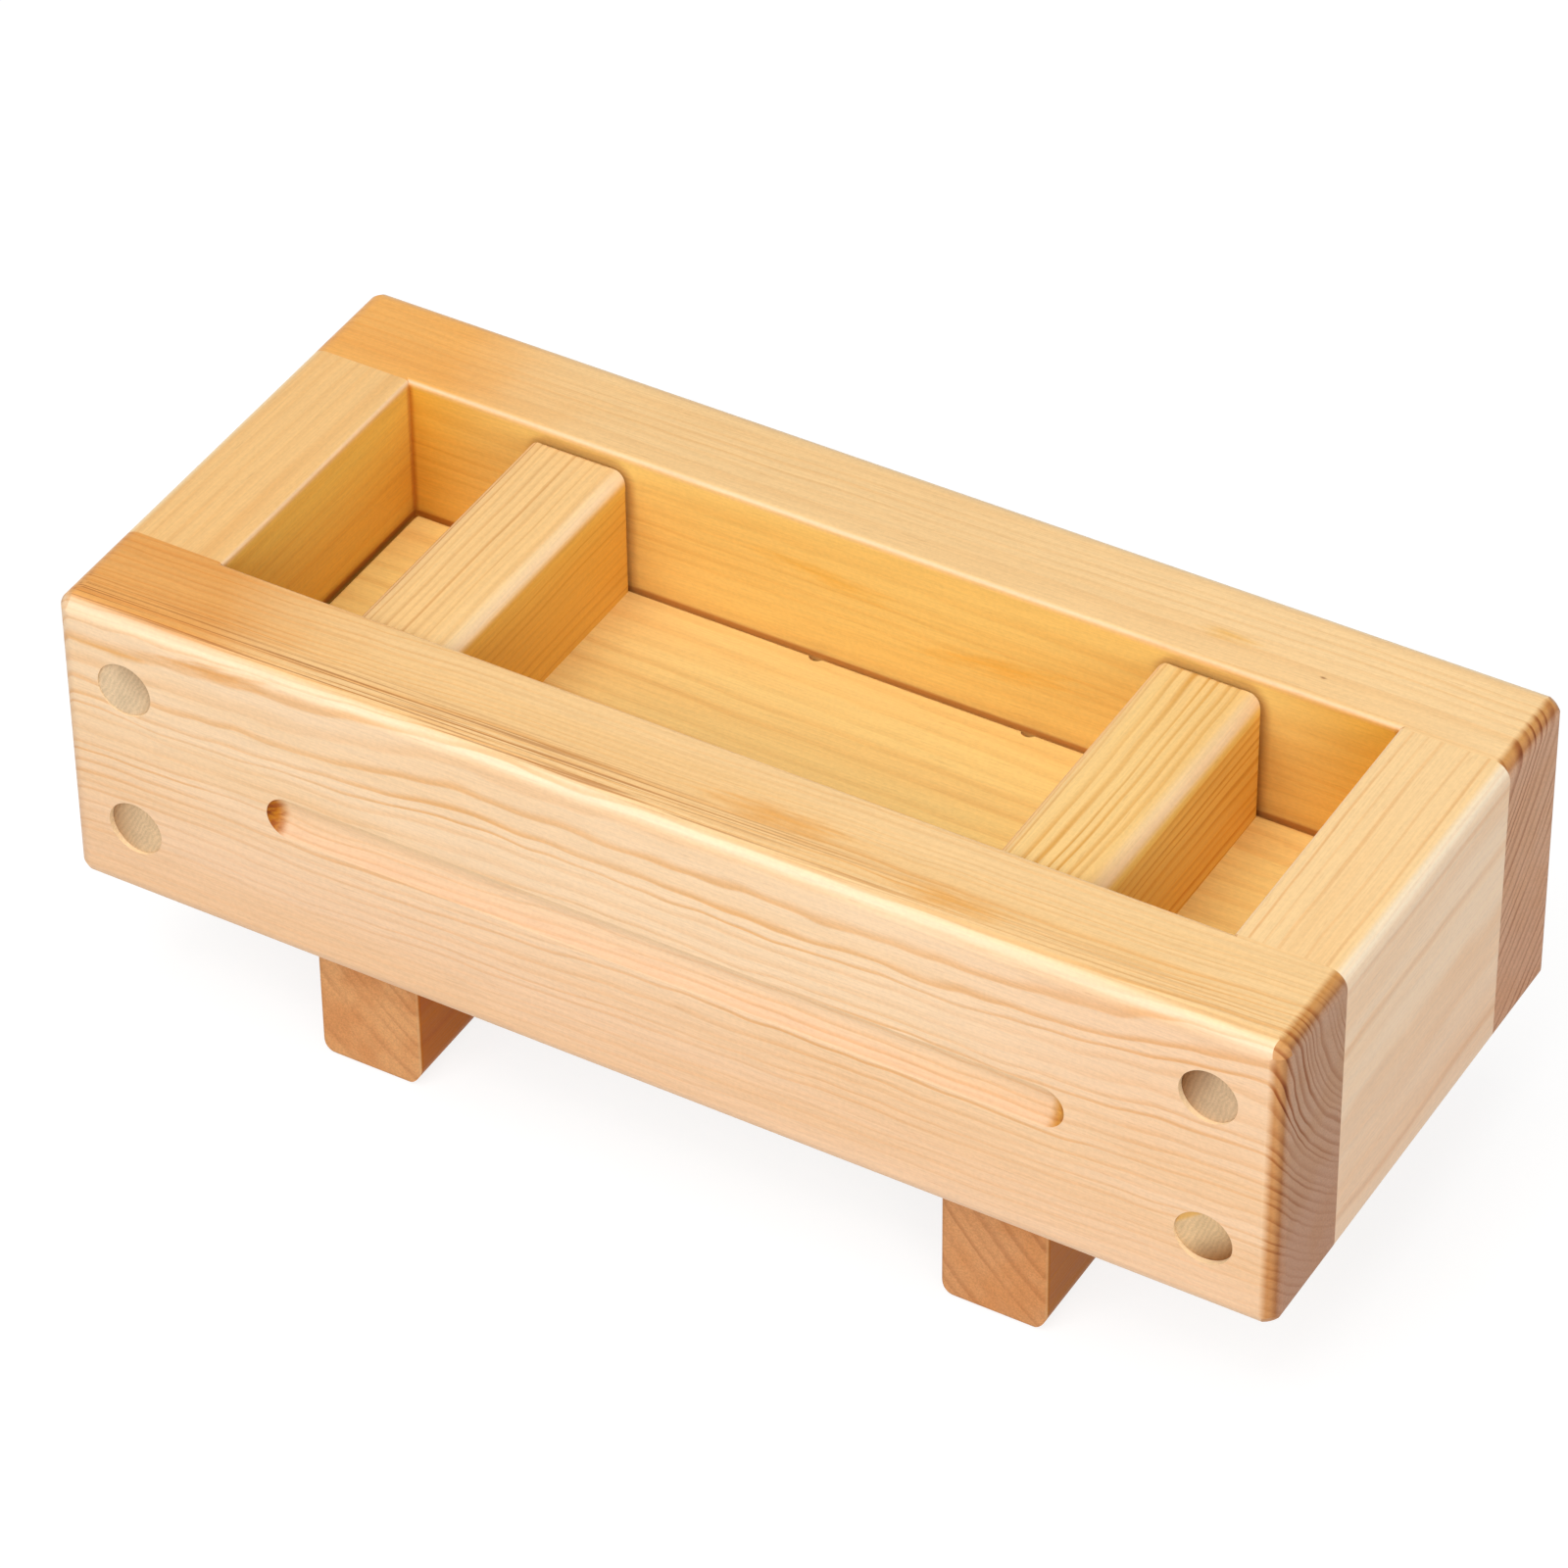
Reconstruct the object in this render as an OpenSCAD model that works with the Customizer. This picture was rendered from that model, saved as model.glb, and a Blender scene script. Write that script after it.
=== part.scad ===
// Wooden sushi rice mould press in three loose parts: a pegged frame with no bottom, a base board
// on two feet that the frame stands on, and a press board with two grip bars that drops into the
// frame. Millimetres. X runs along the mould, Y from front to back, Z up. The origin is at the
// middle of the footprint, on the surface that the feet stand on.

/* [Mould cavity] */
// Length of the pressed block of rice, between the end walls
cavity_length = 180; // [150:1:240]
// Width of the pressed block of rice, between the rails
cavity_width = 55; // [44:1:80]

/* [Frame] */
// Height of the rails and end walls
frame_height = 57.5; // [50:0.5:80]
// Thickness of the two long rails
rail_thickness = 20; // [16:0.5:26]
// Thickness of the two end walls
end_wall_thickness = 19; // [18:0.5:26]
// Radius of the rounded outer edges of the frame
outer_edge_radius = 3.2; // [1.5:0.1:4]
// Radius that softens the mouth of the cavity, above and below
mouth_edge_radius = 0.9; // [0.5:0.1:1.4]

/* [Finger grooves] */
// Length of the groove across each long rail
groove_length = 143; // [60:1:148]
// How far the middle of the groove lies to the right of the middle of the rail
groove_shift = 1; // [-2:0.5:2]
// Radius of the round-nosed cutter that makes the groove
groove_cutter_radius = 4.7; // [3.7:0.1:6]
// How deep the cutter goes into the rail
groove_depth = 2.2; // [1:0.1:3.6]

/* [Frame pegs] */
// Diameter of the pegs that hold the rails to the end walls
frame_peg_diameter = 10; // [6:0.5:11]
// How far each peg hole reaches into its end wall
frame_peg_engagement = 20; // [12:1:26]
// Distance of the peg centres from the ends of the frame
frame_peg_end_inset = 12.5; // [9:0.5:12.5]
// Distance of the peg centres from the top and bottom of the frame
frame_peg_edge_inset = 14.4; // [10:0.1:16]
// How far the middle of each peg's sawn end lies below the face of the rail
frame_peg_recess = 0.6; // [0.5:0.1:1.2]
// Slope of each peg's sawn end, in degrees
frame_peg_saw_angle = 5; // [0:0.5:5]

/* [Boards] */
// Thickness of the board that the rice lies on
base_board_thickness = 15.5; // [12:0.5:18]
// Thickness of the board that presses the rice
press_board_thickness = 15.5; // [12:0.5:18]
// Gap all round between the boards and the inside of the frame
board_clearance = 0.9; // [0.5:0.1:1.5]
// Radius of the boards' upright corners
board_corner_radius = 2; // [0.5:0.1:4]
// Radius that softens the boards' flat edges
board_edge_radius = 0.8; // [0.3:0.1:1.5]
// Radius of the two chips broken out of the press board's rear edge
chip_radius = 1.3; // [0.8:0.1:2]

/* [Bars] */
// Width of the grip bars and of the feet
bar_width = 19; // [16:0.5:26]
// Distance of the middle of each bar from the end of its board
bar_end_inset = 31.6; // [20:0.1:40]
// Height of the grip bars above the press board
grip_bar_height = 24.4; // [18:0.1:32]
// Height of the feet below the frame
foot_height = 25; // [16:0.5:32]
// How far the feet stop short of the front and back of the frame
foot_setback = 6; // [2:0.5:10]
// Radius of the rounded long edges of the grip bars and feet
bar_edge_radius = 4; // [2:0.5:6]
// Radius that softens the ends of the grip bars and feet
bar_end_radius = 1; // [0.5:0.1:1.5]

/* [Bar pegs] */
// Diameter of the pegs that hold the bars to the boards
bar_peg_diameter = 8; // [5:0.5:9]
// Distance of the peg centres from the long edges of the boards
bar_peg_edge_inset = 11.6; // [9:0.1:14.6]
// How far each peg reaches into its bar
bar_peg_engagement = 14; // [10:0.5:14]
// How far each peg lies below the face of its board
bar_peg_recess = 0.3; // [0:0.1:1]

/* [Fit] */
// Gap round a peg in its hole
peg_clearance = 0.04; // [0.02:0.01:0.08]
// Gap between the inner end of a peg and the bottom of its hole
peg_end_gap = 0.6; // [0.3:0.1:1.5]

/* [Hidden] */
$fn = 48;

// How far a cutting shape runs past the face that it cuts
overcut = 1;

frame_length = cavity_length + 2 * end_wall_thickness;
frame_width = cavity_width + 2 * rail_thickness;

// Heights above the surface that the feet stand on
frame_bottom = foot_height;
frame_top = frame_bottom + frame_height;
frame_middle = (frame_bottom + frame_top) / 2;
base_board_top = frame_bottom + base_board_thickness;
press_board_bottom = base_board_top;
press_board_top = press_board_bottom + press_board_thickness;

// The boards fill the cavity, less a gap all round
board_length = cavity_length - 2 * board_clearance;
board_width = cavity_width - 2 * board_clearance;
foot_length = frame_width - 2 * foot_setback;

frame_peg_hole_depth = rail_thickness + frame_peg_engagement;

frame_peg_x = frame_length / 2 - frame_peg_end_inset;
frame_peg_z = frame_height / 2 - frame_peg_edge_inset;
bar_x = board_length / 2 - bar_end_inset;
bar_peg_y = board_width / 2 - bar_peg_edge_inset;

// Where the chips lie along the press board's rear edge
chip_places = [-13, 26];

LEFT = -1;
RIGHT = 1;
FRONT = -1;
REAR = 1;
LOWER = -1;
UPPER = 1;

// ---------- Outlines and blocks with true round edges ----------

// Rectangle of size a by b, centred, whose corners have radius r
module rounded_rectangle(a, b, r) {
    square([a - 2 * r, b], center = true);
    square([a, b - 2 * r], center = true);
    for (u = [-1, 1], v = [-1, 1])
        translate([u * (a / 2 - r), v * (b / 2 - r)])
            circle(r);
}

// Rectangle of size a by b, centred on its lower edge, whose two upper corners have radius r
module arched_rectangle(a, b, r) {
    translate([-a / 2, 0])
        square([a, b - r]);
    translate([-a / 2 + r, 0])
        square([a - 2 * r, b]);
    for (u = [-1, 1])
        translate([u * (a / 2 - r), b - r])
            circle(r);
}

// Stands an outline drawn in X and Z upright and runs it through length along Y, centred
module run_along_y(length) {
    rotate([90, 0, 0])
        linear_extrude(length, center = true)
            children();
}

// Stands an outline drawn in Y and Z upright and runs it through length along X, centred
module run_along_x(length) {
    rotate([90, 0, 90])
        linear_extrude(length, center = true)
            children();
}

// Box centred on the origin: upright edges of radius r_up, all flat edges of radius r_flat
module eased_block(x, y, z, r_up, r_flat) {
    intersection() {
        linear_extrude(z, center = true)
            rounded_rectangle(x, y, r_up);
        run_along_y(y)
            rounded_rectangle(x, z, r_flat);
        run_along_x(x)
            rounded_rectangle(y, z, r_flat);
    }
}

// ---------- Frame ----------

// What sands the point off a corner where three edges of radius r meet. It stands in the corner's
// outer eighth, and leaves as much as a ball of radius r would along the corner's diagonal.
module corner_easing(r) {
    setback = 0.2 * r;
    difference() {
        cube(r + overcut);
        translate([-setback, -setback, -setback])
            sphere(r + setback * sqrt(3));
    }
}

// The whole frame as one block with its outer edges and corners rounded, before the cavity is cut
module frame_envelope() {
    r = outer_edge_radius;
    translate([0, 0, frame_middle])
        difference() {
            eased_block(frame_length, frame_width, frame_height, r, r);
            for (u = [0, 1], v = [0, 1], w = [0, 1])
                mirror([u, 0, 0])
                    mirror([0, v, 0])
                        mirror([0, 0, w])
                            translate([frame_length / 2 - r, frame_width / 2 - r, frame_height / 2 - r])
                                corner_easing(r);
        }
}

// What a rounding cutter takes off one mouth of the cavity. side is UPPER or LOWER.
module mouth_easing(side) {
    r = mouth_edge_radius;
    x = cavity_length / 2 + r;
    y = cavity_width / 2 + r;
    face = frame_middle + side * frame_height / 2;
    difference() {
        translate([0, 0, face])
            cube([2 * x, 2 * y, 2 * r], center = true);
        for (u = [-1, 1]) {
            translate([0, u * y, face - side * r])
                rotate([0, 90, 0])
                    cylinder(r = r, h = frame_length, center = true);
            translate([u * x, 0, face - side * r])
                rotate([90, 0, 0])
                    cylinder(r = r, h = frame_width, center = true);
        }
    }
}

// Rod of radius r with ball ends, centred on the origin. reach is the distance between the
// middles of its ball ends, which lie on the Z axis.
module ball_ended_rod(reach, r) {
    rotate_extrude()
        intersection() {
            union() {
                square([2 * r, reach], center = true);
                for (u = [-1, 1])
                    translate([0, u * reach / 2])
                        circle(r);
            }
            translate([0, -reach])
                square([r, 2 * reach]);
        }
}

// Round-bottomed, round-ended finger groove along the outer face of a rail
module finger_groove(side) {
    end_reach = sqrt(2 * groove_cutter_radius * groove_depth - pow(groove_depth, 2));
    axis_y = side * (frame_width / 2 + groove_cutter_radius - groove_depth);
    translate([groove_shift, axis_y, frame_middle])
        rotate([0, 90, 0])
            ball_ended_rod(groove_length - 2 * end_reach, groove_cutter_radius);
}

// Moves a shape that points inwards along +Y from the origin to a peg position on a rail's face
module at_frame_peg(side, end, level) {
    translate([end * frame_peg_x, side * frame_width / 2, frame_middle + level * frame_peg_z])
        rotate([0, 0, side == FRONT ? 0 : 180])
            children();
}

// The holes through one rail and into both end walls
module frame_peg_holes(side) {
    for (end = [LEFT, RIGHT], level = [LOWER, UPPER])
        at_frame_peg(side, end, level)
            translate([0, -overcut, 0])
                rotate([-90, 0, 0])
                    cylinder(d = frame_peg_diameter, h = frame_peg_hole_depth + overcut);
}

// A peg from just below the rail's face to just short of the bottom of its hole. Its outer end
// is sawn off at a slight slope, whose deep side turn degrees round the peg faces.
module frame_peg(side, end, level, turn) {
    r = frame_peg_diameter / 2 - peg_clearance;
    at_frame_peg(side, end, level)
        difference() {
            rotate([-90, 0, 0])
                cylinder(r = r, h = frame_peg_hole_depth - peg_end_gap);
            rotate([0, turn, 0])
                translate([0, frame_peg_recess, 0])
                    rotate([0, 0, frame_peg_saw_angle])
                        translate([-2 * r, -4 * r, -2 * r])
                            cube(4 * r);
        }
}

module rail(side) {
    difference() {
        intersection() {
            frame_envelope();
            translate([0, side * (frame_width - rail_thickness) / 2, frame_middle])
                cube([frame_length, rail_thickness, frame_height], center = true);
        }
        mouth_easing(UPPER);
        mouth_easing(LOWER);
        finger_groove(side);
        frame_peg_holes(side);
    }
}

module end_wall(end) {
    difference() {
        intersection() {
            frame_envelope();
            translate([end * (frame_length - end_wall_thickness) / 2, 0, frame_middle])
                cube([end_wall_thickness, cavity_width, frame_height], center = true);
        }
        mouth_easing(UPPER);
        mouth_easing(LOWER);
        frame_peg_holes(FRONT);
        frame_peg_holes(REAR);
    }
}

// ---------- Boards, bars and their pegs ----------

// A board that fills the cavity, lying on the height z
module board(thickness, z) {
    translate([0, 0, z + thickness / 2])
        eased_block(board_length, board_width, thickness, board_corner_radius, board_edge_radius);
}

// A bar across the board, lying on the origin, with its two upper long edges well rounded
module bar(length, height) {
    intersection() {
        run_along_y(length)
            arched_rectangle(bar_width, height, bar_edge_radius);
        run_along_x(bar_width)
            arched_rectangle(length, height, bar_end_radius);
        linear_extrude(height)
            rounded_rectangle(bar_width, length, bar_end_radius);
    }
}

// Puts a shape at one end of a board. Children point upwards from the height z.
module at_bar(end, z) {
    translate([end * bar_x, 0, z])
        children();
}

// Puts a shape that hangs below the base board in place, upside down. Children point upwards.
module under_bar(end, z) {
    translate([end * bar_x, 0, z])
        mirror([0, 0, 1])
            children();
}

// Two peg holes from the far face of a board, through it and into the bar, pointing upwards
module bar_peg_holes(thickness) {
    for (row = [FRONT, REAR])
        translate([0, row * bar_peg_y, -overcut])
            cylinder(d = bar_peg_diameter, h = thickness + bar_peg_engagement + overcut);
}

// One peg in such a hole
module bar_peg(thickness, row) {
    translate([0, row * bar_peg_y, bar_peg_recess])
        cylinder(
            r = bar_peg_diameter / 2 - peg_clearance,
            h = thickness + bar_peg_engagement - peg_end_gap - bar_peg_recess
        );
}

module press_board() {
    color("#E9C489")
        difference() {
            board(press_board_thickness, press_board_bottom);
            for (end = [LEFT, RIGHT])
                at_bar(end, press_board_bottom)
                    bar_peg_holes(press_board_thickness);
            for (x = chip_places)
                translate([x, board_width / 2, press_board_top])
                    sphere(chip_radius);
        }
}

module grip_bar(end) {
    color("#F0D19B")
        difference() {
            at_bar(end, press_board_top)
                bar(board_width, grip_bar_height);
            at_bar(end, press_board_bottom)
                bar_peg_holes(press_board_thickness);
        }
}

module grip_bar_peg(end, row) {
    color("#D9B98A")
        at_bar(end, press_board_bottom)
            bar_peg(press_board_thickness, row);
}

module base_board() {
    color("#E6BE84")
        difference() {
            board(base_board_thickness, frame_bottom);
            for (end = [LEFT, RIGHT])
                under_bar(end, base_board_top)
                    bar_peg_holes(base_board_thickness);
        }
}

module foot(end) {
    color("#C99257")
        difference() {
            under_bar(end, frame_bottom)
                bar(foot_length, foot_height);
            under_bar(end, base_board_top)
                bar_peg_holes(base_board_thickness);
        }
}

module foot_peg(end, row) {
    color("#D9B98A")
        under_bar(end, base_board_top)
            bar_peg(base_board_thickness, row);
}

// ---------- Nodes ----------

module front_rail() { color("#F3CFA4") rail(FRONT); }
module rear_rail() { color("#F0C88F") rail(REAR); }
module left_end_wall() { color("#EFC78E") end_wall(LEFT); }
module right_end_wall() { color("#EFCB9A") end_wall(RIGHT); }

module peg_wood() { color("#D6BC92") children(); }
module front_left_upper_peg() { peg_wood() frame_peg(FRONT, LEFT, UPPER, 320); }
module front_left_lower_peg() { peg_wood() frame_peg(FRONT, LEFT, LOWER, 180); }
module front_right_upper_peg() { peg_wood() frame_peg(FRONT, RIGHT, UPPER, 165); }
module front_right_lower_peg() { peg_wood() frame_peg(FRONT, RIGHT, LOWER, 60); }
module rear_left_upper_peg() { peg_wood() frame_peg(REAR, LEFT, UPPER, 60); }
module rear_left_lower_peg() { peg_wood() frame_peg(REAR, LEFT, LOWER, 200); }
module rear_right_upper_peg() { peg_wood() frame_peg(REAR, RIGHT, UPPER, 310); }
module rear_right_lower_peg() { peg_wood() frame_peg(REAR, RIGHT, LOWER, 110); }

front_rail();
rear_rail();
left_end_wall();
right_end_wall();
front_left_upper_peg();
front_left_lower_peg();
front_right_upper_peg();
front_right_lower_peg();
rear_left_upper_peg();
rear_left_lower_peg();
rear_right_upper_peg();
rear_right_lower_peg();
press_board();
grip_bar(LEFT);  // left_grip_bar
grip_bar(RIGHT);  // right_grip_bar
grip_bar_peg(LEFT, FRONT);  // left_grip_bar_front_peg
grip_bar_peg(LEFT, REAR);  // left_grip_bar_rear_peg
grip_bar_peg(RIGHT, FRONT);  // right_grip_bar_front_peg
grip_bar_peg(RIGHT, REAR);  // right_grip_bar_rear_peg
base_board();
foot(LEFT);  // left_foot
foot(RIGHT);  // right_foot
foot_peg(LEFT, FRONT);  // left_foot_front_peg
foot_peg(LEFT, REAR);  // left_foot_rear_peg
foot_peg(RIGHT, FRONT);  // right_foot_front_peg
foot_peg(RIGHT, REAR);  // right_foot_rear_peg
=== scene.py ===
# Looks, light and camera for the wooden sushi rice mould press.
# Blender's objects are in metres in the model's own frame. Inside the materials, places and
# lengths are in millimetres: x and y from the middle of the mould, z up from the table.
import math

import bpy
from mathutils import Matrix, Vector

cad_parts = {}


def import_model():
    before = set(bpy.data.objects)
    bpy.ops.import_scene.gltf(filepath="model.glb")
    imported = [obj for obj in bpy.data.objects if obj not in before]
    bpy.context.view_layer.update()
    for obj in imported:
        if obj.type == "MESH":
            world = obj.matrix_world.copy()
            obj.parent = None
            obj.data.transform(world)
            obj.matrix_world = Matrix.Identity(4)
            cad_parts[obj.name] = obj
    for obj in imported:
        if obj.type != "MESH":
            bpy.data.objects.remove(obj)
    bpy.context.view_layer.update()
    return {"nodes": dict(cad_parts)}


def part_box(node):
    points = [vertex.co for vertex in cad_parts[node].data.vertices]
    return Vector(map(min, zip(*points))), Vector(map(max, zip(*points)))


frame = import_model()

MM = 0.001
X, Y, Z = Vector((1, 0, 0)), Vector((0, 1, 0)), Vector((0, 0, 1))


# ---------- Writing node graphs ----------

class Graph:
    """The nodes of a material or a world, with short calls for the ones used most."""

    def __init__(self, owner):
        self.owner = owner
        owner.use_nodes = True
        self.tree = owner.node_tree
        self.tree.nodes.clear()

    def put(self, value, socket):
        """Links an output to a socket, or sets the socket to a value."""
        if isinstance(value, bpy.types.NodeSocket):
            self.tree.links.new(value, socket)
        elif value is not None:
            socket.default_value = value

    def node(self, kind, inputs=(), **settings):
        made = self.tree.nodes.new("ShaderNode" + kind)
        for name, value in settings.items():
            setattr(made, name, value)
        for key, value in dict(inputs).items():
            self.put(value, made.inputs[key])
        return made

    def math(self, operation, a, b=None, c=None, clamp=False):
        made = self.node("Math", operation=operation, use_clamp=clamp)
        for socket, value in zip(made.inputs, (a, b, c)):
            self.put(value, socket)
        return made.outputs[0]

    def times(self, first, *others):
        """Product of the values."""
        for other in others:
            first = self.math("MULTIPLY", first, other)
        return first

    def greatest(self, first, *others):
        for other in others:
            first = self.math("MAXIMUM", first, other)
        return first

    def ramp(self, value, low, high, to_low=0.0, to_high=1.0):
        """value from low..high to to_low..to_high, eased and held at both ends."""
        made = self.node("MapRange", interpolation_type="SMOOTHSTEP", clamp=True)
        for name, number in (("Value", value), ("From Min", low), ("From Max", high),
                             ("To Min", to_low), ("To Max", to_high)):
            self.put(number, made.inputs[name])
        return made.outputs["Result"]

    def rises(self, value, low, high, full=1.0):
        """0 where value is below low, full where it is above high."""
        return self.ramp(value, low, high, 0.0, full)

    def falls(self, value, low, high, full=1.0):
        """full where value is below low, 0 where it is above high."""
        return self.ramp(value, low, high, full, 0.0)

    def vector(self, operation, a, b=None, output="Vector"):
        made = self.node("VectorMath", operation=operation)
        for socket, value in zip(made.inputs, (a, b)):
            self.put(value, socket)
        return made.outputs[output]

    def scaled(self, vector, *factors):
        """vector times one factor, or times one factor along each axis."""
        return self.vector("MULTIPLY", vector, factors if len(factors) == 3 else factors * 3)

    def length(self, vector):
        return self.vector("LENGTH", vector, output="Value")

    def dot(self, a, b):
        return self.vector("DOT_PRODUCT", a, b, output="Value")

    def parts(self, vector):
        """The vector's x, y and z."""
        return tuple(self.node("SeparateXYZ", inputs={0: vector}).outputs)

    def joined(self, x, y, z):
        return self.node("CombineXYZ", inputs={0: x, 1: y, 2: z}).outputs[0]

    def noise(self, place, detail=2.0, output="Fac", kind="3D"):
        made = self.node("TexNoise", noise_dimensions=kind)
        self.put(place, made.inputs["W" if kind == "1D" else "Vector"])
        made.inputs["Scale"].default_value = 1.0
        made.inputs["Detail"].default_value = detail
        return made.outputs[output]

    def swing(self, noise):
        """Noise spread over -1 to 1."""
        return self.ramp(noise, 0.3, 0.7, -1.0, 1.0)

    def mix(self, share, a, b, blend="MIX"):
        made = self.node("Mix", data_type="RGBA", blend_type=blend, clamp_factor=True)
        self.put(share, made.inputs["Factor"])
        for name, colour in (("A", a), ("B", b)):
            socket = [s for s in made.inputs if s.name == name and s.type == "RGBA"][0]
            self.put(colour, socket)
        return [s for s in made.outputs if s.type == "RGBA"][0]

    def tinted(self, colour, tint, share):
        return self.mix(share, colour, self.mix(1.0, colour, tint, blend="MULTIPLY"))

    def brightened(self, colour, level):
        """colour times the same level in red, green and blue."""
        grey = self.node("CombineColor", inputs={"Red": level, "Green": level, "Blue": level})
        return self.mix(1.0, colour, grey.outputs[0], blend="MULTIPLY")

    def surface(self, colour, roughness, sheen, height, strength, depth):
        """The material's shader, with a bump of height that is depth mm deep."""
        bump = self.node("Bump", inputs={
            "Height": height, "Strength": strength, "Distance": depth * MM})
        shader = self.node("BsdfPrincipled", inputs={
            "Base Color": colour, "Roughness": roughness, "Normal": bump.outputs[0],
            "Specular IOR Level": sheen})
        self.node("OutputMaterial", inputs={"Surface": shader.outputs[0]})


def linear(red, green, blue):
    """A colour given as it looks on screen, 0 to 255, as the shader's linear colour."""
    def one(level):
        share = level / 255
        return share / 12.92 if share <= 0.04045 else ((share + 0.055) / 1.055) ** 2.4
    return (one(red), one(green), one(blue), 1.0)


# ---------- Wood ----------

# Places on the mould that the materials follow
FRAME_MIDDLE = 53.75               # height of the frame's middle, where its grooves run
GROOVE_HALF = 4.0                  # half the height of a finger groove
GROOVE_LIMIT = 80.0                # the grooves end before this, to the left and the right
GROOVE_FLOOR = 45.0                # the grooves are cut less deep than this
CAVITY_X, CAVITY_Y = 90.0, 27.5    # half the length and half the width of the cavity
PRESS_TOP = 56.0                   # top of the press board
BAR_X, BAR_TOP = 57.5, 80.4        # middle of a grip bar, to the left or right, and its top
BAR_HALF, BAR_ROUND = 9.5, 4.0     # half the width of a grip bar, and its rounding
HOLES_FROM, HOLES_TO = 91.0, 102.0     # the frame's peg holes, to the left and the right
HOLES_REACH = 20.0                 # the same, up and down from the middle
HOLES_FLOOR = 46.0                 # the pegs end further out than this

# Colours and tints that all the wood has, painted light and shade among them
PLAIN = linear(255, 255, 255)              # no tint
DASHES = linear(188, 124, 70)              # short dark fibres
STREAKS = linear(178, 116, 60)             # fine brown streaks
GAP_SHADE = linear(204, 136, 72)             # painted shade where a gap is narrow
TURNING = linear(212, 180, 138)            # tint of edges that turn towards end grain
TURNING_LINES = linear(192, 152, 112)      # the same on their growth lines
END_LINES = linear(206, 186, 180)          # tint of the growth lines in end grain
TORN_LEFT_AND_SHADE = linear(212, 160, 40)           # tint of torn fibres at a groove's left end, darker with painted shade
TORN_RIGHT = linear(248, 218, 122)         # the same at its right end, without that painted shade
TORN_RAYS = linear(196, 138, 92)           # tint of the rays in them
LIP_PAINTED_SHADE = linear(241, 234, 232)                # painted shade on the groove's lower side
BROW_PAINTED_LIGHT = linear(255, 226, 182)               # painted light on the groove's upper side
HOLE_PAINTED_LIGHT = linear(250, 220, 176)               # painted light on the walls of the peg holes

ROUGHNESS = 0.42
STRAY_LENGTH = 60                      # length of the straying of the rings along the grain
SEED_STEP = Vector((17.3, 9.1, 31.7))  # place in the noise of a log whose seed is 1

DEFAULT = dict(
    grain=X,             # direction of the grain
    pith=(0, 0, 0),      # a point on the middle line of the log
    lean=(0, 0),         # how the middle line of the log leans, as slopes
    ring=1.5,            # mean width of a year's growth
    bend=1.0,            # how far the rings stray from circles
    ripple=18,           # length of the short waves on them
    early=linear(251, 211, 170),   # growth of spring
    late=linear(228, 164, 100),    # growth of summer, the lines
    line=0.6,            # strength of the lines
    weak=0.45,           # strength of the weakest line beside the strongest
    crisp=0.4,           # share of a year's growth before its line begins
    patch=(0.5, 1.1),    # strength of the lines where they are faint and where they are bold
    fades=(),            # changes of that strength: along x, y or z, from, to, at from, at to
    blush=linear(244, 192, 138),   # wide soft bands
    blush_share=0.35,
    streaky=(),          # where fine brown streaks lie, given as fades are
    flecks=(),           # stained streaks: centre, reach, slope, colour
    low_tint=linear(251, 244, 241),    # tint towards the bottom of the frame
    low_right=0.0,       # share of that tint on the front's right end at any height
    tan=linear(242, 239, 208),         # painted light colour of faces that look up
    painted_top_light_left=linear(231, 201, 146),    # the same, at the left end, darker with painted shade
    painted_top_light_right=linear(252, 253, 230),   # the same, at the right end
    painted_inside_light=linear(252, 253, 190),       # painted bounce light inside the mould, a warmer tint
    inside_tint_top=82.4,      # height at which that tint ends
    deep=linear(246, 222, 150),        # painted shade towards both ends inside the mould
    gap_top=PRESS_TOP + 0.4,           # height just below which a narrow gap gets painted shade
    shade_behind_bars=False,        # whether painted shade round the ends of the grip bars shows on it
    end=linear(203, 190, 190),         # tint of sawn end grain
    worn_and_highlight=linear(255, 240, 212),        # rounded edges: paler sanded wood and a painted highlight
    worn_and_highlight_share=0.6,
    worn_and_lit_towards=(0.3, -0.4, 0.87),    # side of the lit edges, where the painted highlight is strongest
    mouth=0.25,          # share of that on the edges of the mouth
    flank_shade=None,          # painted shade on the faces that look along X
    sheen=0.22,
    seed=0.0,
)


def log_axes(grain, lean):
    """Rotation whose third column is the log's axis: grain leaned by two small slopes."""
    side = Y if grain is X else X
    other = grain.cross(side)
    axis = (grain + lean[0] * side + lean[1] * other).normalized()
    first = (side - side.dot(axis) * axis).normalized()
    return Matrix((first, axis.cross(first), axis)).transposed()


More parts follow.
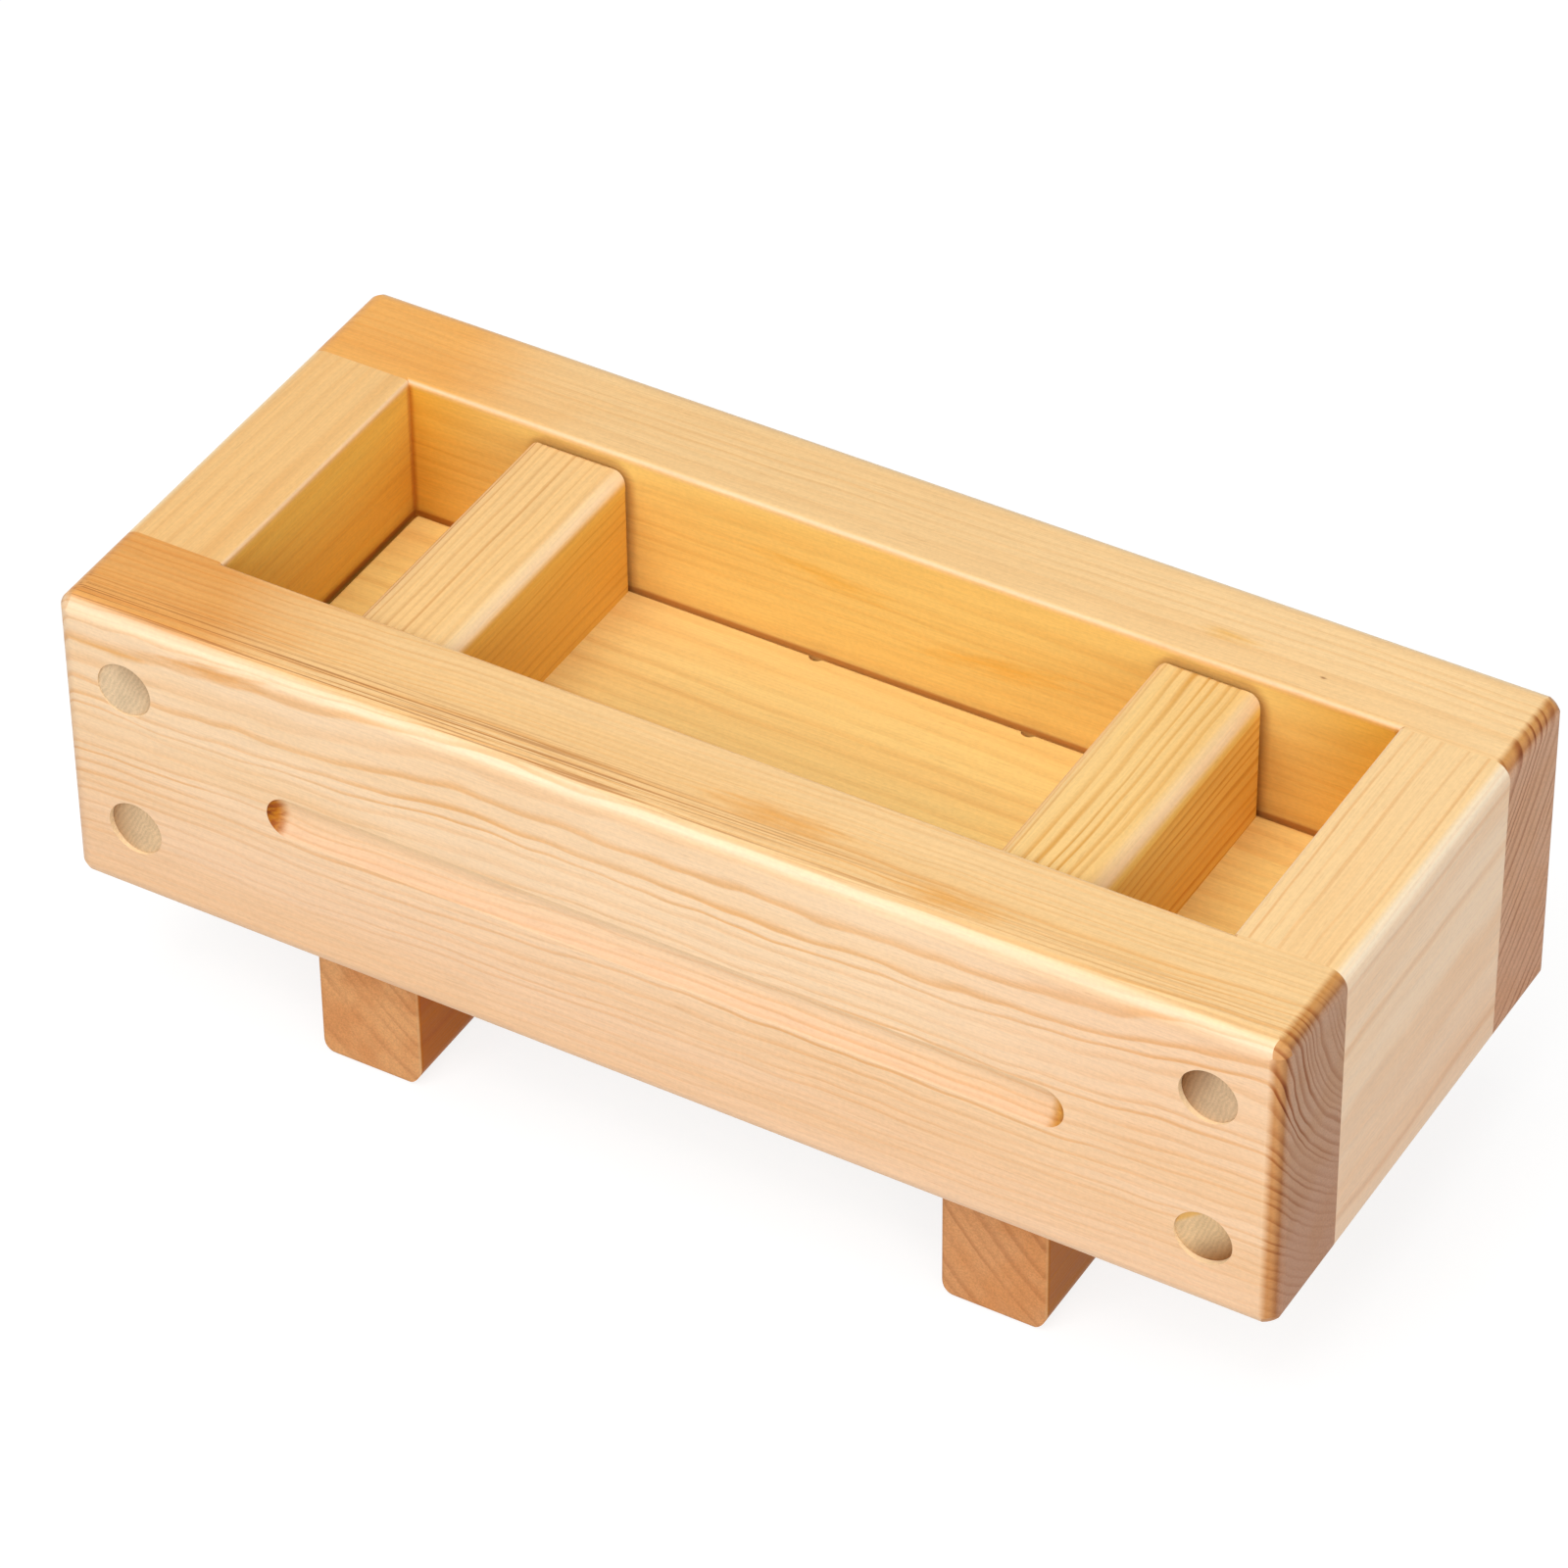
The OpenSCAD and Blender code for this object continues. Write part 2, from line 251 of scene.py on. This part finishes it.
class Wood(Graph):
    """Solid wood: rings round the log's middle line, so each face shows the cut it is.

    Its traits are added to the colour in the order in which wood() calls them.
    """

    def __init__(self, name, changes):
        super().__init__(bpy.data.materials.new(name))
        self.look = {**DEFAULT, **changes}
        place = self.node("TexCoord").outputs
        self.find_place(place["Object"])
        self.find_face(place["Normal"])

    def find_place(self, point):
        """Where a point is in the log and in the mould."""
        self.log = self.node("Mapping", vector_type="TEXTURE", inputs={
            "Vector": point,
            "Location": Vector(self.look["pith"]) * MM,
            "Rotation": log_axes(self.look["grain"], self.look["lean"]).to_euler(),
            "Scale": (MM, MM, MM),
        }).outputs[0]
        self.shifted = self.vector("ADD", self.log, self.look["seed"] * SEED_STEP)
        self.place = self.scaled(point, 1 / MM)
        self.x, self.y, self.z = self.parts(self.place)
        self.far_x, self.far_y = self.math("ABSOLUTE", self.x), self.math("ABSOLUTE", self.y)
        self.from_middle = self.math("ABSOLUTE", self.math("SUBTRACT", self.z, FRAME_MIDDLE))
        self.past_wall = self.greatest(self.math("SUBTRACT", self.far_x, CAVITY_X),
                                       self.math("SUBTRACT", self.far_y, CAVITY_Y))
        self.groove = self.times(
            self.falls(self.from_middle, GROOVE_HALF - 0.2, GROOVE_HALF + 0.2),
            self.falls(self.far_x, GROOVE_LIMIT, GROOVE_LIMIT + 5),
            self.rises(self.far_y, GROOVE_FLOOR - 0.5, GROOVE_FLOOR))
        self.out_of_groove = self.math("SUBTRACT", 1.0, self.groove)

    def find_face(self, normal):
        """Which way the face at a point looks. facing is 1 where it looks along the grain."""
        self.normal = normal
        self.rightward, self.rearward, self.up = self.parts(normal)
        self.sides = self.parts(self.vector("ABSOLUTE", normal))
        self.facing = self.math("ABSOLUTE", self.dot(normal, self.look["grain"]))

    def streaks(self, across, along, **options):
        """Noise whose grains are across mm wide and along mm long."""
        return self.noise(self.scaled(self.shifted, 1 / across, 1 / across, 1 / along), **options)

    def changed(self, value, spans):
        """value times its changes: along x, y or z, from, to, at from, at to."""
        for axis, *span in spans:
            value = self.times(value, self.ramp(getattr(self, axis), *span))
        return value

    def tint(self, colour, *shares):
        """Multiplies the colour by another, by the product of the shares."""
        self.colour = self.tinted(self.colour, colour, self.times(*shares))

    def years(self):
        """Age of the wood at each point, counted in uneven rings that stray from circles."""
        bent = self.log
        wide, short = (45, STRAY_LENGTH, 2.0), (8, self.look["ripple"], 0.6)
        for across, along, reach in (wide, short):
            stray = self.streaks(across, along, detail=1.0, output="Color")
            stray = self.vector("SUBTRACT", stray, (0.5, 0.5, 0.5))
            bent = self.vector("ADD", bent, self.scaled(stray, reach * self.look["bend"]))
        years = self.math("DIVIDE", self.length(self.scaled(bent, 1, 1, 0)), self.look["ring"])
        uneven = self.math("MULTIPLY_ADD", years, 0.31, self.look["seed"])
        return self.math("MULTIPLY_ADD", self.noise(uneven, kind="1D", detail=1.0), 1.6, years)

    def growth_lines(self):
        """Strength of the summer growth: 0 between the lines, 1 in the boldest.

        A line begins softly, at its own share of the year, and ends sharply with the year.
        """
        look, years = self.look, self.years()
        share = self.math("FRACT", years)
        chance = self.node("TexWhiteNoise", noise_dimensions="1D", inputs={
            "W": self.math("ADD", self.math("FLOOR", years), 0.37 + look["seed"]),
        }).outputs["Value"]
        start = self.math("MULTIPLY_ADD", chance, 0.3, look["crisp"] - 0.15)
        late = self.times(self.rises(share, start, 0.84), self.falls(share, 0.87, 1.0))
        patch = self.ramp(self.streaks(14, 60, detail=1.0), 0.3, 0.7, *look["patch"])
        strength = self.times(self.ramp(chance, 0, 1, look["weak"], 1.0), patch)
        strength = self.changed(strength, look["fades"])
        return self.math("MULTIPLY", late, strength, clamp=True)

    def grow(self):
        """Wide soft bands, growth lines and dark fibres on the colour of spring growth."""
        look = self.look
        self.bold = self.growth_lines()
        weaker_in_groove = self.math("MULTIPLY_ADD", self.groove, -0.45, 1.0)
        self.line = self.times(self.bold, look["line"], weaker_in_groove)
        self.fibre = self.swing(self.streaks(0.35, 14, detail=3.0))
        bands = self.rises(self.streaks(9, 110), 0.40, 0.66, look["blush_share"])
        dashes = self.rises(self.streaks(0.5, 5, detail=1.0), 0.68, 0.80, 0.15)
        self.colour = self.mix(bands, look["early"], look["blush"])
        self.colour = self.mix(self.line, self.colour, look["late"])
        self.colour = self.mix(dashes, self.colour, DASHES)
        if look["streaky"]:
            fine = self.rises(self.streaks(0.42, 55), 0.50, 0.62)
            self.colour = self.mix(self.changed(fine, look["streaky"]), self.colour, STREAKS)

    def fleck(self, centre, reach, slope, colour):
        """A stained streak: an uneven patch round centre, reach mm long along x, y and z."""
        x, y, z = self.parts(self.vector("SUBTRACT", self.place, centre))
        z = self.math("MULTIPLY_ADD", x, -slope, z)
        place = self.joined(x, y, z)
        rough = self.noise(self.scaled(place, 0.13, 1.1, 1.1), detail=3.0)
        edge = self.length(self.vector("DIVIDE", place, reach))
        edge = self.math("MULTIPLY_ADD", rough, 1.9, edge)
        self.colour = self.mix(self.falls(edge, 0.9, 2.1, 0.85), self.colour, colour)

    def tint_low(self):
        """The bottom of the frame and the right end of its front are a little pinker."""
        right = self.times(self.rises(self.x, 30, 90, self.look["low_right"]),
                           self.falls(self.rearward, -0.9, -0.5))
        self.tint(self.look["low_tint"], self.greatest(right, self.falls(self.z, 30, 66)))

    def tan(self):
        """Faces that look up get a painted light colour, with painted shade at the left end."""
        look = self.look
        uneven = self.noise(self.scaled(self.log, 0.05))
        x = self.math("MULTIPLY_ADD", uneven, 30, self.x)
        tan = self.mix(self.rises(x, 0, 100), look["tan"], look["painted_top_light_right"])
        tan = self.mix(self.rises(x, -76, -40), look["painted_top_light_left"], tan)
        self.tint(tan, self.out_of_groove, self.rises(self.up, 0.55, 0.95))

    def painted_inside_light(self):
        """Paints warm bounce light inside the mould, with painted shade towards both ends and in
        narrow gaps.
        """
        look = self.look
        inside = self.times(self.falls(self.past_wall, 0.1, 0.7),
                            self.falls(self.z, look["inside_tint_top"] - 1.6, look["inside_tint_top"]))
        # Painted bounce light: the inside is warmer.
        self.tint(look["painted_inside_light"], inside)
        # Painted shade towards both ends, where the corners are.
        self.tint(look["deep"], inside, self.rises(self.far_x, 66, 92))
        # Painted shade in narrow gaps and in the cavity's corners.
        self.tint(GAP_SHADE, inside, self.painted_gap_shade())

    def painted_gap_shade(self):
        """Painted shade: a thin line above the board, one round the grip bars' ends, and the
        cavity's corners.
        """
        top = self.look["gap_top"]
        above_board = self.rises(self.z, top - 2.0, top - 1.2)
        gap = self.times(self.falls(self.z, top - 0.7, top, 0.7), above_board)
        if self.look["shade_behind_bars"]:
            gap = self.greatest(gap, self.times(self.bar_outline(), above_board))
        corner = self.times(self.rises(self.far_x, CAVITY_X - 1.0, CAVITY_X - 0.2),
                            self.rises(self.far_y, CAVITY_Y - 1.2, CAVITY_Y - 0.2, 0.55))
        return self.greatest(gap, corner)

    def bar_outline(self):
        """A line of painted shade on the rail round the end of each grip bar, whose upper edges
        are round.
        """
        from_bar = self.math("ABSOLUTE", self.math("SUBTRACT", self.far_x, BAR_X))
        beside = self.math("SUBTRACT", from_bar, BAR_HALF - BAR_ROUND)
        above = self.math("SUBTRACT", self.z, BAR_TOP - BAR_ROUND)
        out = self.length(self.joined(self.greatest(beside, 0.0), self.greatest(above, 0.0), 0.0))
        return self.times(self.rises(out, BAR_ROUND - 3.0, BAR_ROUND - 0.2),
                          self.falls(out, BAR_ROUND - 0.2, BAR_ROUND + 1.4, 0.32))

    def darken_end_grain(self):
        """End grain drinks light: darker, and speckled with open fibre ends."""
        self.end = self.rises(self.facing, 0.55, 0.97)
        speckle = self.swing(self.noise(self.scaled(self.log, 3.2, 3.2, 0.4)))
        self.open_ends = self.times(self.end, speckle)
        turning = self.times(self.rises(self.facing, 0.1, 0.5), self.falls(self.facing, 0.8, 0.99),
                             self.ramp(self.x, 80, 100, 0.15, 1.0))
        self.tint(TURNING, turning)
        self.tint(TURNING_LINES, turning, self.bold)
        self.tint(self.look["end"], self.end)
        self.tint(END_LINES, self.end, self.bold)

    def cut_grooves(self):
        """The finger grooves are as the cutter left them, with torn fibres at both ends, and
        painted light and shade.
        """
        torn = self.times(self.groove, self.rises(self.facing, 0.12, 0.62))
        # Torn fibres at both ends; the left end is darker with painted shade.
        self.tint(self.mix(self.rises(self.x, -20, 20), TORN_LEFT_AND_SHADE, TORN_RIGHT), torn)
        rays = self.noise(self.scaled(self.place, 0.5, 0.5, 1.1), detail=3.0)
        share = self.ramp(self.x, -20, 20, 0.7, 0.3)
        self.tint(TORN_RAYS, torn, self.rises(rays, 0.42, 0.60, share))
        # Painted shade on the groove's lower side and painted light on its upper side.
        self.tint(LIP_PAINTED_SHADE, self.groove, self.rises(self.up, 0.0, 0.8))
        brow_painted_light = self.times(self.math("SUBTRACT", self.groove, torn),
                          self.falls(self.up, -0.7, 0.0, 0.75))
        self.colour = self.mix(brow_painted_light, self.colour, BROW_PAINTED_LIGHT)

    def paint_light_in_peg_holes(self):
        """The walls of the peg holes are painted paler, as painted light against their shade."""
        hole_painted_light = self.times(
            self.rises(self.far_x, HOLES_FROM - 0.2, HOLES_FROM),
            self.falls(self.far_x, HOLES_TO, HOLES_TO + 0.2),
            self.falls(self.from_middle, HOLES_REACH, HOLES_REACH + 0.2),
            self.rises(self.far_y, HOLES_FLOOR - 0.1, HOLES_FLOOR),
            self.falls(self.sides[1], 0.2, 0.8))
        self.colour = self.mix(hole_painted_light, self.colour, HOLE_PAINTED_LIGHT)

    def wear_and_highlight_edges(self):
        """Rounded edges get paler sanded wood and a painted highlight, strongest on their lit
        side.
        """
        look = self.look
        worn_and_highlight = self.times(
            self.falls(self.greatest(*self.sides), 0.80, 0.99),
            self.falls(self.facing, 0.0, 0.3),
            self.out_of_groove,
            self.rises(self.dot(self.normal, look["worn_and_lit_towards"]), -0.1, 0.5),
            self.ramp(self.past_wall, 1.1, 1.6, look["mouth"], 1.0),
            self.math("MULTIPLY_ADD", self.line, -0.5, 1.0),
            look["worn_and_highlight_share"])
        self.colour = self.mix(worn_and_highlight, self.colour, look["worn_and_highlight"])

    def shade_flanks(self):
        """Faces that look along X get painted shade on the feet, fainter on the left."""
        if self.look["flank_shade"]:
            self.tint(self.look["flank_shade"], self.rises(self.sides[0], 0.75, 0.99),
                      self.ramp(self.rightward, -0.1, 0.1, 0.5, 1.0))

    def finish(self):
        """Fibres, grit and open fibre ends, in the colour, the bump and the roughness."""
        grit = self.swing(self.noise(self.scaled(self.shifted, 1.9, 1.9, 1.3)))
        long_grain = self.math("SUBTRACT", 1.0, self.end)
        level = self.math("MULTIPLY_ADD", grit, 0.028, 1.0)
        level = self.math("MULTIPLY_ADD", long_grain, self.times(self.fibre, 0.04), level)
        level = self.math("MULTIPLY_ADD", self.open_ends, 0.08, level)
        height = self.math("MULTIPLY_ADD", self.fibre, 0.35, self.times(self.line, -0.6))
        height = self.math("MULTIPLY_ADD", self.open_ends, 0.8, height)
        rough = self.math("MULTIPLY_ADD", self.fibre, 0.05, ROUGHNESS)
        rough = self.math("MULTIPLY_ADD", self.line, 0.06, rough)
        rough = self.math("MULTIPLY_ADD", self.end, 0.25, rough)
        self.surface(self.brightened(self.colour, level), rough, self.look["sheen"],
                     height, strength=0.35, depth=0.06)


def wood(name, changes):
    """The material of one piece of wood."""
    made = Wood(name, changes)
    made.grow()
    for fleck in made.look["flecks"]:
        made.fleck(*fleck)
    made.tint_low()
    made.tan()
    made.painted_inside_light()
    made.darken_end_grain()
    made.cut_grooves()
    made.paint_light_in_peg_holes()
    made.wear_and_highlight_edges()
    made.shade_flanks()
    made.finish()
    return made.owner


# ---------- Pegs ----------

RECESS_SHADE = linear(168, 138, 108)       # painted shade on a peg end's deeper side
PAINTED_RIM_LIGHT = linear(228, 176, 100)       # painted light of the lit hole wall beside a peg
HIDDEN_PEG = linear(224, 190, 150)
STRIPES = 8.2                      # turns of their sine wave, in radians a millimetre


class PegEnd(Graph):
    """The sawn end of a round peg: grey, speckled, with fine stripes and painted shade on one
    side.
    """

    def __init__(self, name, centre, axis):
        super().__init__(bpy.data.materials.new(name))
        point = self.node("TexCoord").outputs["Object"]
        self.place = self.scaled(self.vector("SUBTRACT", point, centre), 1 / MM)
        self.axis = axis

    def across(self, degrees):
        """Distance from the peg's middle in a direction of its end face."""
        turn = math.radians(degrees)
        return self.dot(self.place, math.cos(turn) * X - math.sin(turn) * self.axis.cross(X))

    def saw(self, tone, stripes):
        """Fine stripes square to the direction stripes, and specks, on the colour tone."""
        wander = self.noise(self.scaled(self.place, 0.35), detail=1.0)
        bent = self.math("MULTIPLY_ADD", wander, 1.6, self.across(stripes))
        self.stripe = self.math("SINE", self.math("MULTIPLY", bent, STRIPES))
        self.speck = self.swing(self.noise(self.scaled(self.place, 3.4), detail=3.0))
        broad = self.swing(self.noise(self.scaled(self.place, 0.45), detail=1.0))
        level = 1.0
        for pattern, strength in ((self.stripe, 0.055), (self.speck, 0.07), (broad, 0.05)):
            level = self.math("MULTIPLY_ADD", pattern, strength, level)
        self.colour = self.brightened(tone, level)

    def shade_peg_end(self, towards, darkness, rim_light):
        """Painted shade on the side that lies towards an angle, and painted rim light on the other
        side.
        """
        painted_shade = self.rises(self.across(towards), -1.5, 5.2, darkness)
        self.colour = self.tinted(self.colour, RECESS_SHADE, painted_shade)
        rim_light = self.rises(self.across(towards + 180), 3.5, 4.3, rim_light)
        self.colour = self.mix(rim_light, self.colour, PAINTED_RIM_LIGHT)

    def finish(self):
        rough = self.math("MULTIPLY_ADD", self.speck, 0.05, 0.68)
        relief = self.math("ADD", self.speck, self.stripe)
        self.surface(self.colour, rough, 0.17, relief, strength=0.4, depth=0.05)


def peg_end(node, number, tone, towards, darkness, rim_light):
    """The material of one peg. number turns its stripes."""
    low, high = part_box(node)
    axis = Y if node.startswith(("front", "rear")) else Z
    made = PegEnd(node, (low + high) / 2, axis)
    made.saw(tone, stripes=150 + 4 * number)
    made.shade_peg_end(towards, darkness, rim_light)
    made.finish()
    return made.owner


# ---------- Each piece ----------

BAR = dict(grain=Y, low_tint=PLAIN, inside_tint_top=79, gap_top=40, mouth=1.0,
           worn_and_highlight=linear(255, 236, 194), worn_and_highlight_share=0.4, worn_and_lit_towards=(0.8, 0, 0.6),
           end=linear(196, 164, 140), deep=PLAIN,
           painted_top_light_left=linear(251, 248, 214), tan=linear(251, 248, 214))
FOOT = dict(grain=Y, low_tint=PLAIN, ring=3.2, line=0.25, weak=0.3, patch=(0.15, 0.5),
            blush_share=0.8, early=linear(238, 190, 136), late=linear(204, 140, 84),
            blush=linear(226, 168, 112), end=linear(241, 222, 208), flank_shade=linear(209, 149, 50),
            worn_and_highlight_share=0.15, inside_tint_top=0, sheen=0.08)
WOODS = {
    "front_rail": dict(
        pith=(0, 12.5, 95), lean=(0.026, 0), ring=1.35, bend=1.9, ripple=13, seed=1.7,
        line=0.75, weak=0.4, crisp=0.34, early=linear(250, 216, 176), late=linear(232, 168, 95),
        blush=linear(242, 197, 140), low_tint=linear(250, 241, 239), low_right=0.75,
        end=linear(201, 184, 185), worn_and_highlight_share=0.35, shade_behind_bars=True, tan=linear(248, 238, 208),
        painted_top_light_left=linear(234, 196, 133), painted_top_light_right=linear(249, 241, 213),
        fades=(("z", 32, 52, 0.25, 1.0), ("y", -41, -35, 1.0, 0.5)),
        streaky=(("y", -46.6, -45.8, 0, 1), ("y", -42.5, -37.5, 1, 0), ("x", -30, 80, 0.75, 0.2),
                 ("z", 82, 82.4, 0, 1)),
        flecks=(((-80, -47.5, 78.4), (13, 4, 1.7), 0.10, linear(232, 164, 88)),
                ((-98, -47.5, 75.2), (9, 4, 1.0), 0.06, linear(236, 174, 100)),
                ((18, -38, 82.5), (16, 3, 3), 0, linear(236, 176, 104)),
                ((50, -42, 82.5), (12, 2.5, 3), 0, linear(238, 178, 104)))),
    "rear_rail": dict(
        pith=(0, -40, 130), lean=(0.02, 0.02), ring=2.2, bend=1.5, seed=2, line=0.3,
        tan=linear(246, 243, 214), painted_top_light_left=linear(245, 213, 141), painted_inside_light=linear(250, 250, 184),
        end=linear(223, 210, 212), shade_behind_bars=True, fades=(("y", 45.5, 47, 1.0, 2.2),),
        flecks=(((57, 34.5, 82.5), (6, 1.6, 3), 0, linear(240, 184, 112)),
                ((74.4, 32.3, 82.5), (0.7, 0.4, 1), 0, linear(150, 90, 46)),
                ((20, 27.5, 66), (17, 3, 2.6), 0.12, linear(246, 188, 118)),
                ((-12, 27.5, 72), (15, 3, 2.2), -0.08, linear(246, 190, 122)))),
    "left_end_wall": dict(
        grain=Y, pith=(-40, 0, 140), lean=(0.03, 0.01), ring=2.6, seed=3, line=0.3,
        painted_inside_light=linear(255, 250, 152), deep=PLAIN, painted_top_light_left=linear(244, 233, 192),
        worn_and_highlight=linear(255, 232, 184)),
    "right_end_wall": dict(
        grain=Y, pith=(170, 0, 50), ring=2.9, seed=4, line=0.55, crisp=0.68,
        early=linear(254, 222, 186), painted_inside_light=linear(255, 250, 160),
        painted_top_light_right=linear(248, 239, 207)),
    "press_board": dict(
        pith=(0, 60, -60), lean=(0.01, 0.01), ring=1.6, seed=5, line=0.4,
        early=linear(254, 220, 172), low_tint=PLAIN, painted_inside_light=linear(252, 253, 218), inside_tint_top=66,
        deep=PLAIN, gap_top=PRESS_TOP - 0.5, tan=linear(247, 245, 240),
        painted_top_light_left=linear(254, 255, 240), painted_top_light_right=linear(255, 255, 240)),
    "base_board": dict(
        pith=(0, -70, 90), ring=1.8, seed=6, line=0.4, low_tint=PLAIN,
        painted_inside_light=linear(252, 252, 226), deep=PLAIN, gap_top=0, tan=linear(247, 246, 226),
        painted_top_light_left=linear(247, 244, 222)),
    "left_grip_bar": dict(
        BAR, pith=(-110, 0, 20), ring=1.1, bend=0.8, seed=7, line=1.0, weak=0.2, crisp=0.45,
        patch=(0.7, 1.1), fades=(("x", -60, -55, 1.0, 0.45),), late=linear(208, 140, 70),
        painted_inside_light=linear(244, 226, 132)),
    "right_grip_bar": dict(
        BAR, pith=(-3, 0, 15), ring=1.35, seed=8, line=0.8, weak=0.5, crisp=0.35,
        early=linear(255, 216, 171), late=linear(222, 156, 66), painted_inside_light=linear(255, 253, 178),
        tan=linear(248, 243, 211), painted_top_light_right=linear(247, 242, 198)),
    "left_foot": dict(FOOT, pith=(-10, 0, 60), seed=9),
    "right_foot": dict(
        FOOT, pith=(110, 0, 60), seed=10, early=linear(228, 178, 128),
        flank_shade=linear(199, 157, 69)),
}
# Colour of each visible peg, the direction of its painted shade in degrees up from the right,
# how dark that is, and how much painted rim light shows on the other side
PEGS = {
    "front_left_upper_peg": (linear(223, 194, 156), 45, 0.4, 0.0),
    "front_left_lower_peg": (linear(224, 190, 148), 180, 0.6, 0.0),
    "front_right_upper_peg": (linear(210, 176, 138), 160, 1.0, 0.0),
    "front_right_lower_peg": (linear(224, 188, 142), -50, 1.0, 1.0),
}


def dress(node, material):
    """Gives a node of the model its material, in place of what it came with."""
    mesh = frame["nodes"][node].data
    mesh.materials.clear()
    mesh.materials.append(material)


def dress_all():
    for node, changes in WOODS.items():
        dress(node, wood(node, changes))
    pegs = sorted(node for node in frame["nodes"] if node.endswith("_peg"))
    for number, node in enumerate(pegs):
        look = PEGS.get(node, (HIDDEN_PEG, 40 * number, 0.7, 0.0))
        dress(node, peg_end(node, number, *look))


# ---------- Floor, light and camera ----------

BLACK, WHITE = (0, 0, 0, 1), (1, 1, 1, 1)
FLOOR_SIZE, FLOOR_HEIGHT = 8.0, -0.0001
FLOOR_BOUNCE = (0.55, 0.55, 0.55, 1)       # the floor's colour for the light on the object
FLOOR_SHADE = (0.25, 0.25, 0.25, 1)        # its colour as it is seen, which gives the shadow
FLOOR_GLOW = 0.82                          # what it glows besides, to be seen as white
WORLD_LEVEL = 0.45
LAMP_DISTANCE, LAMP_AIM = 1.6, Vector((0, 0, 0.04))

# The camera, solved from the edges of the frame in the photograph
AZIMUTH, ELEVATION, ROLL = (math.radians(angle) for angle in (30.54, 40.087, 0.689))
TARGET = Vector((0.753, -7.541, 59.79)) * MM
DISTANCE = 1.1784
FOCAL_LENGTH, SENSOR = 172.204, 36


def link(made):
    bpy.context.scene.collection.objects.link(made)
    return made


def background_ray(g):
    """1 on rays that show the background: the camera's, and those of gloss and glass."""
    path = g.node("LightPath").outputs
    return g.greatest(path["Is Camera Ray"], path["Is Glossy Ray"], path["Is Transmission Ray"])


def floor_material():
    """Looks white, with a faint shadow, and lights the object as a pale table does."""
    g = Graph(bpy.data.materials.new("floor"))
    seen = background_ray(g)
    far = g.rises(g.length(g.node("TexCoord").outputs["Object"]), 0.4, 2.0)
    colour = g.mix(seen, FLOOR_BOUNCE, g.mix(far, FLOOR_SHADE, BLACK))
    matt = g.node("BsdfDiffuse", inputs={"Color": colour})
    strength = g.times(seen, g.math("MULTIPLY_ADD", far, 1 - FLOOR_GLOW, FLOOR_GLOW))
    glow = g.node("Emission", inputs={"Color": WHITE, "Strength": strength})
    added = g.node("AddShader", inputs={0: matt.outputs[0], 1: glow.outputs[0]})
    g.node("OutputMaterial", inputs={"Surface": added.outputs[0]})
    return g.owner


def floor():
    half = FLOOR_SIZE / 2
    corners = [(x, y, FLOOR_HEIGHT) for x, y in ((-half, -half), (half, -half), (half, half),
                                                 (-half, half))]
    mesh = bpy.data.meshes.new("floor")
    mesh.from_pydata(corners, [], [(0, 1, 2, 3)])
    mesh.materials.append(floor_material())
    made = link(bpy.data.objects.new("floor", mesh))


def world():
    """Even white surroundings: white where they are seen, and WORLD_LEVEL as a light."""
    g = Graph(bpy.data.worlds.new("studio"))
    bpy.context.scene.world = g.owner
    strength = g.math("MULTIPLY_ADD", background_ray(g), 1 - WORLD_LEVEL, WORLD_LEVEL)
    background = g.node("Background", inputs={"Color": WHITE, "Strength": strength})
    g.node("OutputWorld", inputs={"Surface": background.outputs[0]})


def softbox(name, towards, size, level):
    """A square lamp in the direction towards. level is what it adds to a white face there."""
    lamp = bpy.data.lights.new(name, "AREA")
    lamp.shape = "SQUARE"
    lamp.size = size
    lamp.energy = level * (math.pi * LAMP_DISTANCE) ** 2
    made = link(bpy.data.objects.new(name, lamp))
    direction = Vector(towards).normalized()
    made.location = direction * LAMP_DISTANCE + LAMP_AIM
    made.rotation_euler = direction.to_track_quat("Z", "Y").to_euler()


def camera():
    right = Vector((math.cos(AZIMUTH), math.sin(AZIMUTH), 0))
    back = Vector((math.sin(AZIMUTH) * math.cos(ELEVATION),
                   -math.cos(AZIMUTH) * math.cos(ELEVATION), math.sin(ELEVATION)))
    up = back.cross(right)
    turned_right = math.cos(ROLL) * right - math.sin(ROLL) * up
    turned_up = math.sin(ROLL) * right + math.cos(ROLL) * up
    data = bpy.data.cameras.new("camera")
    data.sensor_fit = "HORIZONTAL"
    data.sensor_width = SENSOR
    data.lens = FOCAL_LENGTH
    data.clip_start = 0.05
    data.clip_end = 50
    made = link(bpy.data.objects.new("camera", data))
    turn = Matrix((turned_right, turned_up, back)).transposed().to_4x4()
    made.matrix_world = Matrix.Translation(TARGET + DISTANCE * back) @ turn
    bpy.context.scene.camera = made


dress_all()
floor()
world()
softbox("front", towards=(-0.10, -0.70, 0.70), size=1.1, level=0.40)
softbox("top", towards=(0, -0.25, 0.97), size=1.2, level=0.32)
softbox("right", towards=(0.72, -0.62, 0.25), size=0.8, level=0.26)
camera()
bpy.context.scene.view_settings.view_transform = "Standard"
